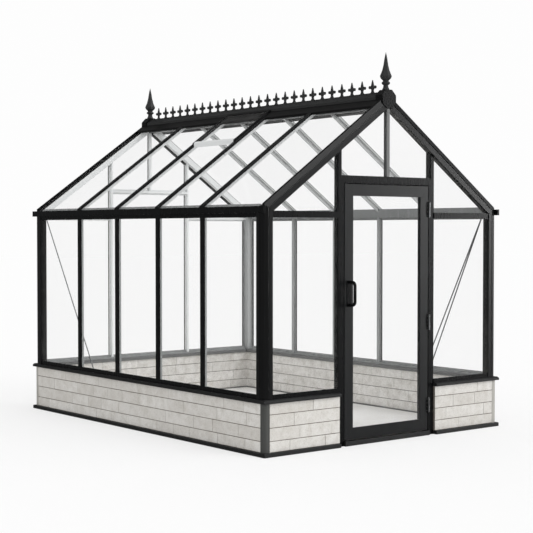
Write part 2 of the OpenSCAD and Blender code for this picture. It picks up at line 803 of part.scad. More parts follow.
// Flat stays across the corners of the long walls, bolted inside the eave beam and the sill;
// the right one has two bars that share the upper bolt
module stay(run) {
  top = [-wall_end + stay_end_r, beam_z + stay_end_r];
  foot = [top.x + run, sill_z + stay_end_r];
  angle = atan2(top.y - foot.y, top.x - foot.x);
  translate([-frame_x + frame_depth, 0, 0]) rotate([90, 0, 90]) linear_extrude(stay_t) {
    for (end = [top, foot]) translate(end) circle(stay_end_r);
    translate(foot) rotate(angle) translate([0, -stay_w / 2]) square([norm(top - foot), stay_w]);
  }
}
module wall_stays() {
  color(frame_black) {
    mirror([0, 1, 0]) stay(left_stay_run);
    mirror([1, 0, 0]) {
      stay(right_stay_run);
      stay(right_stay_run + stay_split);
    }
  }
}

// Door leaf: mitred stiles and rails, stepped at the back for the pane
module leaf_stile(w, y0, y1) {
  across([
    [-leaf_half, leaf_bottom], [-leaf_half + w, leaf_bottom + w],
    [-leaf_half + w, leaf_top - w], [-leaf_half, leaf_top]
  ], y0, y1);
}
module leaf_rail(w, y0, y1) {
  across([
    [-leaf_half, leaf_bottom], [leaf_half, leaf_bottom],
    [leaf_half - w, leaf_bottom + w], [-leaf_half + w, leaf_bottom + w]
  ], y0, y1);
}
leaf_step = leaf_y + leaf_glass_set;
module door_stiles() {
  color(frame_black) both_sides() {
    leaf_stile(stile_w, leaf_y, leaf_step);
    leaf_stile(stile_w - lap, leaf_step, leaf_y + leaf_t);
  }
}
module door_rails() {
  color(frame_black) for (turn = [0, 1])
    translate([0, 0, turn * (leaf_bottom + leaf_top)]) mirror([0, 0, turn]) {
      leaf_rail(stile_w, leaf_y, leaf_step);
      leaf_rail(stile_w - lap, leaf_step, leaf_y + leaf_t);
    }
}
module door_glass() {
  edge = stile_w - lap + pane_gap;
  low = [-leaf_half + edge, leaf_step, leaf_bottom + stile_w - lap];
  color(glass_tint, 0.3) block(low, [leaf_half - edge, leaf_step + glass_t, leaf_top - edge]);
}

// Hinges: the jamb's half carries the pin, the leaf's half turns on it
module hinge_plate(x0, x1, z0, z1) {
  block([x0, leaf_y - hinge_plate_t, z0], [x1, leaf_y, z1]);
}
module jamb_hinges() {
  color(hinge_grey) for (z = hinge_zs) {
    translate([hinge_x, hinge_y, z - hinge_h / 2]) {
      cylinder(r = knuckle_r, h = hinge_h / 2 - knuckle_gap);
      cylinder(r = pin_r, h = hinge_h - knuckle_r);
    }
    difference() {
      hinge_plate(hinge_x, hinge_x + hinge_plate_w, z - hinge_h / 2, z + hinge_h / 2);
      translate([hinge_x, hinge_y, z - knuckle_gap]) cylinder(r = knuckle_r + knuckle_relief, h = hinge_h);
      hinge_plate(hinge_x - past, door_half, z - hinge_h, z + hinge_h);
    }
    hinge_plate(hinge_x, door_half, z - hinge_h / 2, z - knuckle_gap);
  }
}
module door_hinges() {
  color(hinge_grey) for (z = hinge_zs) difference() {
    union() {
      translate([hinge_x, hinge_y, z]) cylinder(r = knuckle_r, h = hinge_h / 2);
      difference() {
        hinge_plate(hinge_x - hinge_plate_w, leaf_half, z - hinge_h / 2, z + hinge_h / 2);
        translate([hinge_x, hinge_y, z - hinge_h]) cylinder(r = knuckle_r + knuckle_relief, h = hinge_h);
      }
      hinge_plate(leaf_half, hinge_x, z, z + hinge_h / 2);
    }
    translate([hinge_x, hinge_y, z - hinge_h / 2])
      cylinder(r = pin_r + pin_clear, h = hinge_h - knuckle_r + knuckle_gap);
  }
}

// Pull handle: a bar bent out from a plate on the lock stile
module handle_half() {
  arm = handle_reach - handle_bend;
  grip = handle_l / 2 - handle_bend;
  plate = [handle_plate_w / 2, handle_l / 2 + handle_d / 2];
  block([-plate.x, -handle_plate_t, 0], [plate.x, 0, plate.y]);
  translate([0, 0, handle_l / 2]) rotate([90, 0, 0]) cylinder(d = handle_d, h = arm);
  translate([0, -arm, grip]) rotate([90, 0, -90]) rotate_extrude(angle = 90)
    translate([handle_bend, 0]) circle(d = handle_d);
  translate([0, -handle_reach, 0]) cylinder(d = handle_d, h = grip);
}
module door_handle() {
  color(frame_black) translate([-leaf_half + stile_w / 2, leaf_y, handle_z])
    for (turn = [0, 1]) mirror([0, 0, turn]) handle_half();
}

side_base_rails();
end_base_rails();
side_plinths();
end_plinths();
plinth_corner_posts();
side_caps();
end_caps();
floor_slab();
threshold();
side_sills();
end_sills();
corner_posts();
wall_bars();
eave_beams();
gutters();
front_rafters();
rear_rafters();
roof_bars();
ridge_beam();
ridge_cap();
ridge_ends();
ridge_cresting();
finials();
door_jambs();
door_head();
door_stops();
front_transoms();
rear_uprights();
rear_head();
rear_transoms();
king_bars();
wall_glass();
front_gable_glass();
rear_gable_glass();
roof_glass();
roof_vent_sill();
roof_vent_sash();
roof_vent_glass();
wall_stays();
door_stiles();
door_rails();
door_glass();
door_hinges();
jamb_hinges();
door_handle();
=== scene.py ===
# %% [markdown]
# # A glass greenhouse on a brick plinth
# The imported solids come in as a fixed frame: bars, panes, door, ridge and plinth, in metres, with X
# across the gables, Y along the ridge and Z up. The door's gable faces -Y. This lesson gives each of
# those solids the finish of the real thing, lays the bricks that the plain plinth stands for, adds the
# bolts and screws, and then sets up the light and the camera.

# %% Load the frame
import math
import bpy
import numpy as np
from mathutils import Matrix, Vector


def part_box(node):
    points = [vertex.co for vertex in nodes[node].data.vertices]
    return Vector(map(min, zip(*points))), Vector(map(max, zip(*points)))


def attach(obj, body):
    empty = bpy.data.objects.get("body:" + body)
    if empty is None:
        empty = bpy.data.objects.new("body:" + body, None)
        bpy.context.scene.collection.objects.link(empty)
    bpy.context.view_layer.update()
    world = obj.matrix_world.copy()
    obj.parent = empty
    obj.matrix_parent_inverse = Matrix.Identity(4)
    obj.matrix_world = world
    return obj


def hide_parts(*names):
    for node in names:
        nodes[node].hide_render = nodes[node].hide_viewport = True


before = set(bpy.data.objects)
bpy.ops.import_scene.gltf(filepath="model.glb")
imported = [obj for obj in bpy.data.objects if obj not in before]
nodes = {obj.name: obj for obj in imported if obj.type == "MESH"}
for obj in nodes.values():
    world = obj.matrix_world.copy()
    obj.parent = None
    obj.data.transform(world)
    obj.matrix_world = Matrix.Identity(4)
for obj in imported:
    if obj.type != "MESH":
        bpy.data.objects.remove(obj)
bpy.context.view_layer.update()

# %% [markdown]
# ## Colours and nodes
# A paint chip is read off a screen as an sRGB hex value, but a shader works with linear light, so one
# function turns the first into the second. The other helper adds one node to a material with its settings
# and its links: each input is either a plain value or the socket of another node.

# %% Helpers for colour and nodes
def linear(hex_code):
    """sRGB to linear light: c goes to c/12.92 up to 0.04045, and to ((c+0.055)/1.055)^2.4 above it."""
    c = np.array([int(hex_code[i:i + 2], 16) for i in (1, 3, 5)]) / 255
    return (*np.where(c <= 0.04045, c / 12.92, ((c + 0.055) / 1.055) ** 2.4), 1.0)


def add(material, kind, inputs=None, **settings):
    """Adds one node: its settings by name, and for each input a plain value or another node's socket."""
    node = material.node_tree.nodes.new("ShaderNode" + kind)
    for name, value in settings.items():
        setattr(node, name, value)
    for name, value in (inputs or {}).items():
        if isinstance(value, bpy.types.NodeSocket):
            material.node_tree.links.new(value, node.inputs[name])
        else:
            node.inputs[name].default_value = value
    return node


def new_material(name):
    material = bpy.data.materials.new(name)
    material.use_nodes = True
    material.node_tree.nodes.clear()
    return material


def per_metre(size_mm):
    """A pattern whose features are size_mm across repeats 1000 / size_mm times in a metre."""
    return 1000 / size_mm


print("white chip in linear light:", linear("#ffffff"))

# %% [markdown]
# ## Inside and outside
# The frame is coated black outside. Its inner faces get a paler colour, which is painted light: it stands
# for the brighter look of the inside of the house behind the glass. Whether a point lies inside follows
# from where it is: behind the wall panes, behind the gable panes and under the roof panes. The least of
# those three distances is the depth inside the glass, and a short ramp turns it into a mask. It could also
# be painted on the mesh, but a mask that reads only the point's own coordinates works on any finish and
# needs no mesh of its own. The skin says how far in front of the panes a mask starts: 3 mm takes in the
# backs of the bars' face plates, and on the roof bars 15 mm takes in the plates' sides too. Below 0 the mask
# starts behind the panes.

# %% How deep a point lies inside the glass
PITCH = math.radians(35.2)
PANE = 0.004
RAMP = 0.002
BACKS_OF_PLATES, SIDES_OF_PLATES, BEHIND_PANES = 0.003, 0.015, -0.008
wall_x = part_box("wall_glass")[1].x
gable_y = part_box("rear_gable_glass")[1].y
roof_low, roof_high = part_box("roof_glass")
roof_top = roof_low.z + math.tan(PITCH) * roof_high.x + PANE / math.cos(PITCH)


def within(skin):
    def mask(m, place):
        """The least of wall_x - |x|, gable_y - |y| and roof_top - z - tan(pitch) |x|, ramped from -skin."""
        at = add(m, "SeparateXYZ", {"Vector": place}).outputs
        x = add(m, "Math", {0: at["X"]}, operation="ABSOLUTE").outputs["Value"]
        y = add(m, "Math", {0: at["Y"]}, operation="ABSOLUTE").outputs["Value"]
        slope = add(m, "Math", {0: x, 1: math.tan(PITCH), 2: at["Z"]}, operation="MULTIPLY_ADD")
        wall = add(m, "Math", {0: wall_x, 1: x}, operation="SUBTRACT").outputs["Value"]
        gable = add(m, "Math", {0: gable_y, 1: y}, operation="SUBTRACT").outputs["Value"]
        roof = add(m, "Math", {0: roof_top, 1: slope.outputs["Value"]}, operation="SUBTRACT")
        upright = add(m, "Math", {0: wall, 1: gable}, operation="MINIMUM").outputs["Value"]
        depth = add(m, "Math", {0: upright, 1: roof.outputs["Value"]}, operation="MINIMUM").outputs["Value"]
        ramp = add(m, "MapRange", {"Value": depth, "From Min": -skin, "From Max": RAMP - skin})
        return ramp.outputs["Result"]
    return mask


inside, under_top, under_pane = within(BACKS_OF_PLATES), within(SIDES_OF_PLATES), within(BEHIND_PANES)
print("glass skin: walls", round(wall_x, 3), "gables", round(gable_y, 3), "apex", round(roof_top, 3))

# %% [markdown]
# ## One side of a plane
# Some finishes change at a plane: the barrel of a hinge stands in front of its plate, and the flashings
# start beside the ridge, where the shade under the cap is painted on as near black. Such a mask compares
# one coordinate with a bound, and two masks join by their product or by the greater of the two.

# %% Masks on one axis, and how two of them join
def limit(axis, operation, bound, size=True):
    def mask(m, place):
        """1 where the coordinate on the axis, or its size without the sign, is above or below the bound."""
        value = add(m, "SeparateXYZ", {"Vector": place}).outputs[axis]
        if size:
            value = add(m, "Math", {0: value}, operation="ABSOLUTE").outputs["Value"]
        return add(m, "Math", {0: value, 1: bound}, operation=operation).outputs["Value"]
    return mask


def both(first, second):
    def mask(m, place):
        """The product of two masks: 1 only where both are 1."""
        masks = {0: first(m, place), 1: second(m, place)}
        return add(m, "Math", masks, operation="MULTIPLY").outputs["Value"]
    return mask


def either(first, second):
    def mask(m, place):
        """The greater of two masks: 1 where at least one of them is 1."""
        masks = {0: first(m, place), 1: second(m, place)}
        return add(m, "Math", masks, operation="MAXIMUM").outputs["Value"]
    return mask


# %% Places of this house
BARREL_DEPTH, RIDGE_HALF, PANE_EDGE = 0.0115, 0.067, 0.001
rear = limit("Y", "GREATER_THAN", 0.0, size=False)
right = limit("X", "GREATER_THAN", 0.0, size=False)
inside_rear = both(inside, rear)
inside_far_corner = both(inside_rear, right)
far_corners = either(right, rear)
barrels = limit("Y", "LESS_THAN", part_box("door_hinges")[0].y + BARREL_DEPTH, size=False)
beside_ridge = limit("X", "GREATER_THAN", RIDGE_HALF)
over_flashing = limit("X", "LESS_THAN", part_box("ridge_cap")[1].x)
vent_sides = limit("Y", "GREATER_THAN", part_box("roof_vent_glass")[1].y - PANE_EDGE)

# %% [markdown]
# ## Powder coat
# The frame is extruded aluminium under a baked polyester powder. Baked powder flows into a faint orange
# peel a couple of millimetres across, and the coat is satin: dark, with a soft highlight and no mirror
# image. Rain leaves thin upright streaks of dust that are only a little lighter and duller than the
# paint. A clean flat black would look like plastic film, so both the peel and the dust are drawn. Each
# further layer is a colour and the mask of where it takes over.

# %% Powder-coat finish
STREAK_MM, STREAK_TALL_MM = 45, 375
PEEL_HEIGHT = 0.0004


def powder_coat(name, colour, dust, peel_mm, roughness, gloss, bump, *layers):
    m = new_material(name)
    place = add(m, "TexCoord").outputs["Object"]
    peel = add(m, "TexNoise", {"Vector": place, "Scale": per_metre(peel_mm), "Detail": 2.0}).outputs["Fac"]
    upright = add(m, "Mapping", {
        "Vector": place, "Scale": (1.0, 1.0, STREAK_MM / STREAK_TALL_MM)}).outputs["Vector"]
    streaks = add(m, "TexNoise", {
        "Vector": upright, "Scale": per_metre(STREAK_MM), "Detail": 5.0}).outputs["Fac"]
    film = add(m, "MapRange", {"Value": streaks, "From Min": 0.45, "From Max": 0.8, "To Max": 0.4})
    paint = add(m, "Mix", {
        "Factor": film.outputs["Result"], "A": linear(colour), "B": linear(dust)}, data_type="RGBA")
    for over, where in layers:
        paint = add(m, "Mix", {
            "Factor": where(m, place), "A": paint.outputs["Result"], "B": linear(over)}, data_type="RGBA")
    dull = add(m, "MapRange", {"Value": streaks, "To Min": roughness - 0.01, "To Max": roughness + 0.015})
    skin = add(m, "Bump", {"Height": peel, "Strength": bump, "Distance": PEEL_HEIGHT})
    shader = add(m, "BsdfPrincipled", {
        "Base Color": paint.outputs["Result"], "Roughness": dull.outputs["Result"],
        "Normal": skin.outputs["Normal"], "Specular IOR Level": gloss})
    add(m, "OutputMaterial", {"Surface": shader.outputs["BSDF"]})
    return m


# %% [markdown]
# ## The coats of the frame
# All coats are one powder in a few shades, and some layers on them are painted light and shade. A row gives
# the paint, the dust, the width of the peel in millimetres, the roughness, the gloss and the strength of
# the peel. Bars that are seen from both sides get a paler layer inside, which is painted light. The corner
# posts and the rafters are the smoothest, and the door leaf is a shade lighter than the frame.

# %% Coats of bars, posts and beams
BLACK = ("#0c0d0e", "#141515", 2.4, 0.27, 0.3, 0.1)
SLEEK = ("#0c0d0e", "#131414", 2.4, 0.28, 0.5, 0.02)
LEAF = ("#1b1c1d", "#272828", 2.4, 0.30, 0.45, 0.1)
frame_coat = powder_coat("satin_powder_coat", *BLACK)
rafter_coat = powder_coat("sleek_powder_coat", *SLEEK)
# Painted light: a pale grey inner face on the post at the far right-rear corner.
post_coat = powder_coat("sleek_coat_painted_light_far_corner", *SLEEK, ("#a8aaaa", inside_far_corner))
# Painted light: a grey layer on the bars' inner faces.
bar_coat = powder_coat("powder_coat_painted_grey_light_inside", *BLACK, ("#9fa1a1", inside))
# Painted light: a dark grey layer on the beams' inner faces.
beam_coat = powder_coat("powder_coat_painted_dim_light_inside", *BLACK, ("#838585", inside))
# Painted light: pale grey on the roof bars' inner faces, a slightly darker grey on their plate sides on the
# right slope.
roof_coat = powder_coat("powder_coat_painted_light_below", *BLACK,
                        ("#d6d8d8", inside), ("#c0c2c2", both(under_top, right)))
# Painted light: near white on the rear bars' inner faces.
rear_coat = powder_coat("powder_coat_painted_pale_light_inside", *BLACK, ("#f0f2f2", inside))
# Painted light: pale grey on the rear rafters behind and under the panes.
gable_coat = powder_coat("powder_coat_painted_light_under_panes", *SLEEK, ("#e2e4e4", under_pane))
leaf_coat = powder_coat("satin_powder_coat_leaf", *LEAF)
print("coats of the bars:", len(bpy.data.materials))

# %% Coats of king bars, base, ridge, castings and vent
KING = ("#666767", "#727372", 2.4, 0.36, 0.4, 0.2)
BASE = ("#202121", "#2c2d2d", 2.4, 0.48, 0.4, 0.03)
RIDGE = ("#2b2c2c", "#363737", 2.4, 0.36, 0.5, 0.2)
CASTING = ("#303131", "#3c3d3d", 5.0, 0.48, 0.4, 0.45)
VENT = ("#dfe1e1", "#e4e5e4", 2.4, 0.36, 0.5, 0.2)
TRIM_GREY = ("#484947", "#565753", 2.4, 0.36, 0.5, 0.2)
# Painted shade and light: the king bars' inner webs are darker than their grey plates, and inside the rear
# gable they are near white.
king_coat = powder_coat("grey_powder_coat", *KING, ("#3c3d3d", inside), ("#f0f2f2", inside_rear))
# Painted light: a paler grey on the base's inner faces.
base_coat = powder_coat("dull_base_coat_painted_light_within", *BASE, ("#6c6d6d", inside))
# Painted shade: near black on the flashings beside the ridge cap.
ridge_coat = powder_coat("ridge_coat_painted_shade_flashing", *RIDGE, ("#050506", beside_ridge))
cast_coat = powder_coat("powder_coat_on_castings", *CASTING)
# Painted shade: the part of the sash over the flashing is black, like the flashing's painted shade.
vent_coat = powder_coat("pale_grey_powder_coat", *VENT, (BLACK[0], over_flashing), (BLACK[0], vent_sides))
# Painted light: the corner trims are pale at every corner but the near left front one.
trim_coat = powder_coat("corner_trim_painted_light_far_corners", *TRIM_GREY, ("#a9a7a1", far_corners))
print("powder coats in all:", len(bpy.data.materials))

# %% [markdown]
# ## Float glass
# A pane of 4 mm float glass hardly bends what is behind it. It lets most light straight through, and
# mirrors a share that grows as the view gets flatter. A true glass shader would also work, but then the
# lamps would need a path through every pane to reach the floor. So the pane is a clear shader mixed with
# a sharp mirror: the face that the view meets first carries the mirror, and the face where the view
# leaves is clear. The mirrors see the studio dimmer than the view does, and a whole mirror would turn the
# panes grey, so only a fifth of one face's mirror is kept. Glass outdoors is never quite clean. A thin
# white film of dust, uneven over a hand's breadth, makes dark things behind the pane look a little paler.

# %% Glass finish
BLOOM_MM = 160


def float_glass(name, tint, ior, mirror_kept, film_low, film_high):
    m = new_material(name)
    place = add(m, "TexCoord").outputs["Object"]
    leaving = add(m, "NewGeometry").outputs["Backfacing"]
    entering = add(m, "Math", {0: 1.0, 1: leaving}, operation="SUBTRACT").outputs["Value"]
    one_face = add(m, "Fresnel", {"IOR": ior}).outputs["Fac"]
    kept = add(m, "Math", {0: one_face, 1: mirror_kept}, operation="MULTIPLY").outputs["Value"]
    share = add(m, "Math", {0: kept, 1: entering}, operation="MULTIPLY").outputs["Value"]
    bloom = add(m, "TexNoise", {"Vector": place, "Scale": per_metre(BLOOM_MM), "Detail": 4.0}).outputs["Fac"]
    smear = add(m, "MapRange", {
        "Value": bloom, "From Min": 0.4, "From Max": 0.8, "To Min": 0.02, "To Max": 0.07})
    dusty = add(m, "MapRange", {
        "Value": bloom, "From Min": 0.3, "From Max": 0.7, "To Min": film_low, "To Max": film_high})
    film = add(m, "Math", {0: dusty.outputs["Result"], 1: entering}, operation="MULTIPLY").outputs["Value"]
    mirror = add(m, "BsdfGlossy", {"Color": (1, 1, 1, 1), "Roughness": smear.outputs["Result"]})
    clear = add(m, "BsdfTransparent", {"Color": linear(tint)})
    dust = add(m, "BsdfDiffuse", {"Color": linear("#f6f6f4")})
    pane = add(m, "MixShader", {0: film, 1: clear.outputs["BSDF"], 2: dust.outputs["BSDF"]})
    surface = add(m, "MixShader", {0: share, 1: pane.outputs["Shader"], 2: mirror.outputs["BSDF"]})
    add(m, "OutputMaterial", {"Surface": surface.outputs["Shader"]})
    return m


glass = float_glass("float_glass", "#fefefe", ior=1.52, mirror_kept=0.2, film_low=0.012, film_high=0.024)
print("glass:", glass.name)

# %% [markdown]
# ## Pale brick
# The plinth is laid in long pale blocks, off-white with a warm grey cast, pitted where the face has
# weathered. Three scales of pattern make them: blotches a few centimetres across, grit of a few
# millimetres, and pits that are both darker and lower. Every block also has its own tone, kept in an
# attribute on its mesh. The faces inside the house are painted paler than the ones outside: this is
# painted light, which brightens the inside of the house.

# %% Finish of the blocks
CLOUD_MM, GRIT_MM, PIT_MM = 70, 9, 14


def pale_block(name):
    m = new_material(name)
    place = add(m, "TexCoord").outputs["Object"]
    tone = add(m, "Attribute", attribute_name="tone").outputs["Fac"]
    cloud = add(m, "TexNoise", {
        "Vector": place, "Scale": per_metre(CLOUD_MM), "Detail": 6.0, "Roughness": 0.65})
    grain = add(m, "TexNoise", {
        "Vector": place, "Scale": per_metre(GRIT_MM), "Detail": 5.0, "Roughness": 0.7})
    pits = add(m, "TexVoronoi", {"Vector": place, "Scale": per_metre(PIT_MM), "Randomness": 1.0})
    weathered = add(m, "Mix", {
        "Factor": tone, "A": linear("#ccc9c4"), "B": linear("#dad8d4")}, data_type="RGBA")
    # Painted light: the paler tones of the faces inside the house.
    inside_painted_light_tone = add(m, "Mix", {
        "Factor": tone, "A": linear("#e5e3df"), "B": linear("#f1efec")}, data_type="RGBA")
    base = add(m, "Mix", {
        "Factor": inside(m, place), "A": weathered.outputs["Result"], "B": inside_painted_light_tone.outputs["Result"]},
        data_type="RGBA")
    blot = add(m, "MapRange", {
        "Value": cloud.outputs["Fac"], "From Min": 0.42, "From Max": 0.72, "To Max": 0.55})
    stained = add(m, "Mix", {
        "Factor": blot.outputs["Result"], "A": base.outputs["Result"], "B": linear("#b4afa6")},
        data_type="RGBA")
    speck = add(m, "MapRange", {
        "Value": grain.outputs["Fac"], "From Min": 0.5, "From Max": 0.74, "To Max": 0.5})
    gritty = add(m, "Mix", {
        "Factor": speck.outputs["Result"], "A": stained.outputs["Result"], "B": linear("#8f8a82")},
        data_type="RGBA")
    hole = add(m, "MapRange", {
        "Value": pits.outputs["Distance"], "From Min": 0.08, "From Max": 0.26, "To Min": 0.7, "To Max": 0.0})
    where = add(m, "Math", {0: hole.outputs["Result"], 1: blot.outputs["Result"]}, operation="MULTIPLY")
    face = add(m, "Mix", {
        "Factor": where.outputs["Value"], "A": gritty.outputs["Result"], "B": linear("#6d6861")},
        data_type="RGBA")
    depth = add(m, "Math", {0: grain.outputs["Fac"], 1: where.outputs["Value"]}, operation="SUBTRACT")
    relief = add(m, "Bump", {"Height": depth.outputs["Value"], "Strength": 0.6, "Distance": 0.003})
    shader = add(m, "BsdfPrincipled", {
        "Base Color": face.outputs["Result"], "Roughness": 0.9, "Normal": relief.outputs["Normal"],
        "Specular IOR Level": 0.3})
    add(m, "OutputMaterial", {"Surface": shader.outputs["BSDF"]})
    return m


block_face = pale_block("pale_pitted_block")
print("blocks:", block_face.name)

# %% [markdown]
# ## Mortar and concrete
# The joints are a thin dark mortar, and the floor is floated concrete with soft grey clouds. Both are one
# colour that drifts a little from place to place over a fine grain, so one function makes them at two
# scales.

# %% Finish of mortar and concrete
def cloudy(name, dark, light, cloud_mm, grain_mm, roughness, bump_mm):
    m = new_material(name)
    place = add(m, "TexCoord").outputs["Object"]
    cloud = add(m, "TexNoise", {
        "Vector": place, "Scale": per_metre(cloud_mm), "Detail": 6.0, "Roughness": 0.6})
    grain = add(m, "TexNoise", {"Vector": place, "Scale": per_metre(grain_mm), "Detail": 4.0})
    even = add(m, "MapRange", {"Value": cloud.outputs["Fac"], "From Min": 0.3, "From Max": 0.7})
    colour = add(m, "Mix", {
        "Factor": even.outputs["Result"], "A": linear(dark), "B": linear(light)}, data_type="RGBA")
    relief = add(m, "Bump", {"Height": grain.outputs["Fac"], "Strength": 0.5, "Distance": bump_mm / 1000})
    shader = add(m, "BsdfPrincipled", {
        "Base Color": colour.outputs["Result"], "Roughness": roughness, "Normal": relief.outputs["Normal"],
        "Specular IOR Level": 0.3})
    add(m, "OutputMaterial", {"Surface": shader.outputs["BSDF"]})
    return m


mortar = cloudy("dark_mortar", "#5d5852", "#7d7770", 30, 2.5, 0.95, 1.0)
concrete = cloudy("floated_concrete", "#e9e8e5", "#f4f3f1", 260, 4, 0.8, 0.4)
print("masonry:", mortar.name, concrete.name)

# %% [markdown]
# ## Zinc
# Hinge barrels, stays, bolts and screws are zinc-plated steel: a pale grey metal with a dull, slightly
# blotchy lustre. The hinges' plates are painted with the frame, so on the hinges a mask leaves only the
# barrels bare.

# %% Metal finish
SPANGLE_MM = 8


def zinc_plate(name, where=None):
    m = new_material(name)
    place = add(m, "TexCoord").outputs["Object"]
    spangle = add(m, "TexNoise", {
        "Vector": place, "Scale": per_metre(SPANGLE_MM), "Detail": 3.0}).outputs["Fac"]
    colour = add(m, "Mix", {
        "Factor": spangle, "A": linear("#8c8e8f"), "B": linear("#b5b7b8")}, data_type="RGBA")
    rough = add(m, "MapRange", {"Value": spangle, "To Min": 0.28, "To Max": 0.48})
    shader = add(m, "BsdfPrincipled", {
        "Base Color": colour.outputs["Result"], "Metallic": 1.0, "Roughness": rough.outputs["Result"]})
    if where:
        bare = where(m, place)
        painted = add(m, "Mix", {
            "Factor": bare, "A": linear(BLACK[0]), "B": colour.outputs["Result"]}, data_type="RGBA")
        m.node_tree.links.new(painted.outputs["Result"], shader.inputs["Base Color"])
        m.node_tree.links.new(bare, shader.inputs["Metallic"])
    add(m, "OutputMaterial", {"Surface": shader.outputs["BSDF"]})
    return m


zinc = zinc_plate("zinc_plated_steel")
hinge_metal = zinc_plate("painted_plates_zinc_barrels", barrels)
print("fixings:", zinc.name, hinge_metal.name)

# %% [markdown]
# ## Dress the solids
# Each solid keeps its shape and takes one finish. The table lists the finishes that differ from the
# frame's own black, and everything else wears that black.

# %% Give every solid its finish
finish_of = {
    "side_base_rails": base_coat, "end_base_rails": base_coat, "side_caps": base_coat, "end_caps": base_coat,
    "threshold": base_coat, "plinth_corner_posts": trim_coat, "floor_slab": concrete,
    "wall_glass": glass, "front_gable_glass": glass, "rear_gable_glass": glass, "roof_glass": glass,
    "roof_vent_glass": glass, "door_glass": glass, "door_stiles": leaf_coat, "door_rails": leaf_coat,
    "door_hinges": hinge_metal, "jamb_hinges": hinge_metal, "wall_stays": zinc, "corner_posts": post_coat,
    "wall_bars": bar_coat, "side_sills": bar_coat, "end_sills": bar_coat, "eave_beams": beam_coat,
    "front_rafters": rafter_coat, "rear_rafters": gable_coat, "roof_bars": roof_coat,
    "rear_uprights": rear_coat, "rear_head": rear_coat, "rear_transoms": rear_coat, "king_bars": king_coat,
    "ridge_beam": beam_coat, "ridge_cap": ridge_coat, "ridge_cresting": cast_coat, "finials": cast_coat,
    "roof_vent_sash": vent_coat, "roof_vent_sill": vent_coat}
for name, solid in nodes.items():
    solid.data.materials.clear()
    solid.data.materials.append(finish_of.get(name, frame_coat))
print("black frame solids:", len(nodes) - len(finish_of))

# %% [markdown]
# ## Rounded arrises
# No extrusion has a razor edge. The die leaves each arris with a radius of a millimetre or two, and the
# folded sheets of the base have a little more. The rounding catches a thin line of light. The solids come
# as loose triangles, so a Weld modifier joins them first, and then a Bevel modifier rounds only the edges
# where two faces really turn.

# %% Round the edges of the bars
SAME_POINT = 1e-5
TURN = math.radians(30)


def round_arrises(name, radius_mm):
    weld = nodes[name].modifiers.new("joined", "WELD")
    weld.merge_threshold = SAME_POINT
    arris = nodes[name].modifiers.new("arris", "BEVEL")
    arris.width = radius_mm / 1000
    arris.segments = 2
    arris.limit_method = "ANGLE"
    arris.angle_limit = TURN


rounded = {
    "side_base_rails": 5, "end_base_rails": 5, "side_caps": 3, "end_caps": 3, "threshold": 3,
    "corner_posts": 2, "wall_bars": 2, "roof_bars": 2, "eave_beams": 2, "gutters": 1.2, "front_rafters": 2,
    "rear_rafters": 2, "ridge_cap": 3, "ridge_ends": 3, "door_stiles": 2, "door_rails": 2}
for name, radius in rounded.items():
    round_arrises(name, radius)
print("arrises rounded on", len(rounded), "solids")

# %% [markdown]
# ## New pieces as arrays
# A block, a bolt or a screw is made by working out all of its points at once. One helper takes the points
# and faces, makes the mesh, and sets the piece on a body of the frame, so that it moves when that body
# moves. The other repeats the faces of one shape for a whole row of such shapes.

# %% Make a piece from arrays
def make_piece(name, points, faces, material, body, smooth=False):
    mesh = bpy.data.meshes.new(name)
    mesh.from_pydata(points.tolist(), [], faces)
    mesh.materials.append(material)
    mesh.polygons.foreach_set("use_smooth", np.full(len(mesh.polygons), smooth))
    mesh.update()
    piece = bpy.data.objects.new(name, mesh)
    bpy.context.scene.collection.objects.link(piece)
    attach(piece, body)
    print(name, len(mesh.vertices), "points", len(mesh.polygons), "faces")
    return piece


def repeated(faces, shapes, points_each):
    """The faces of one shape for every shape in a row: point numbers grow by points_each a shape."""
    return [(np.asarray(face) + n * points_each).tolist() for n in range(shapes) for face in faces]


# %% [markdown]
# ## A block with broken edges
# A laid block is a box whose edges have been knocked off. Each of its 8 corners becomes three points, one
# on each of the faces that meet there, so the box gets 6 faces, 12 narrow strips along its edges and 8
# small triangles. That pattern is the same for every block, so it is worked out once and then repeated
# for a whole wall.

# %% The pattern of one chamfered block
AXES = np.eye(3)
SQUARE = ((-1, -1), (1, -1), (1, 1), (-1, 1))
CORNERS = np.array([[x, y, z] for x in (-1, 1) for y in (-1, 1) for z in (-1, 1)])
# A block of half size 1 with broken edges of 0.2: it tells which way each face of the pattern points
BROKEN = 0.2
BLOCK_POINTS = (CORNERS[:, None, :] * (1 - BROKEN + BROKEN * AXES[None])).reshape(-1, 3)


def outward(face):
    """Turns a face round if its normal, the cross product of two edges, points at the block's middle."""
    p = BLOCK_POINTS[list(face)]
    normal = np.cross(p[1] - p[0], p[2] - p[0])
    return tuple(face) if normal @ p.mean(0) > 0 else tuple(face)[::-1]


def corner(signs):
    """The number of the corner with these signs: 4 for +x, 2 for +y and 1 for +z, added up."""
    return int((np.array(signs) > 0) @ (4, 2, 1))


block_faces = [outward(range(3 * k, 3 * k + 3)) for k in range(len(CORNERS))]
for a in range(3):
    b, c = (a + 1) % 3, (a + 2) % 3
    for s in (-1, 1):
        ring = [corner(s * AXES[a] + u * AXES[b] + v * AXES[c]) for u, v in SQUARE]
        block_faces.append(outward([3 * k + a for k in ring]))
        for t in (-1, 1):
            low = corner(s * AXES[a] + t * AXES[b] - AXES[c])
            high = corner(s * AXES[a] + t * AXES[b] + AXES[c])
            block_faces.append(outward([3 * low + a, 3 * high + a, 3 * high + b, 3 * low + b]))
print("one block:", len(BLOCK_POINTS), "points", len(block_faces), "faces")


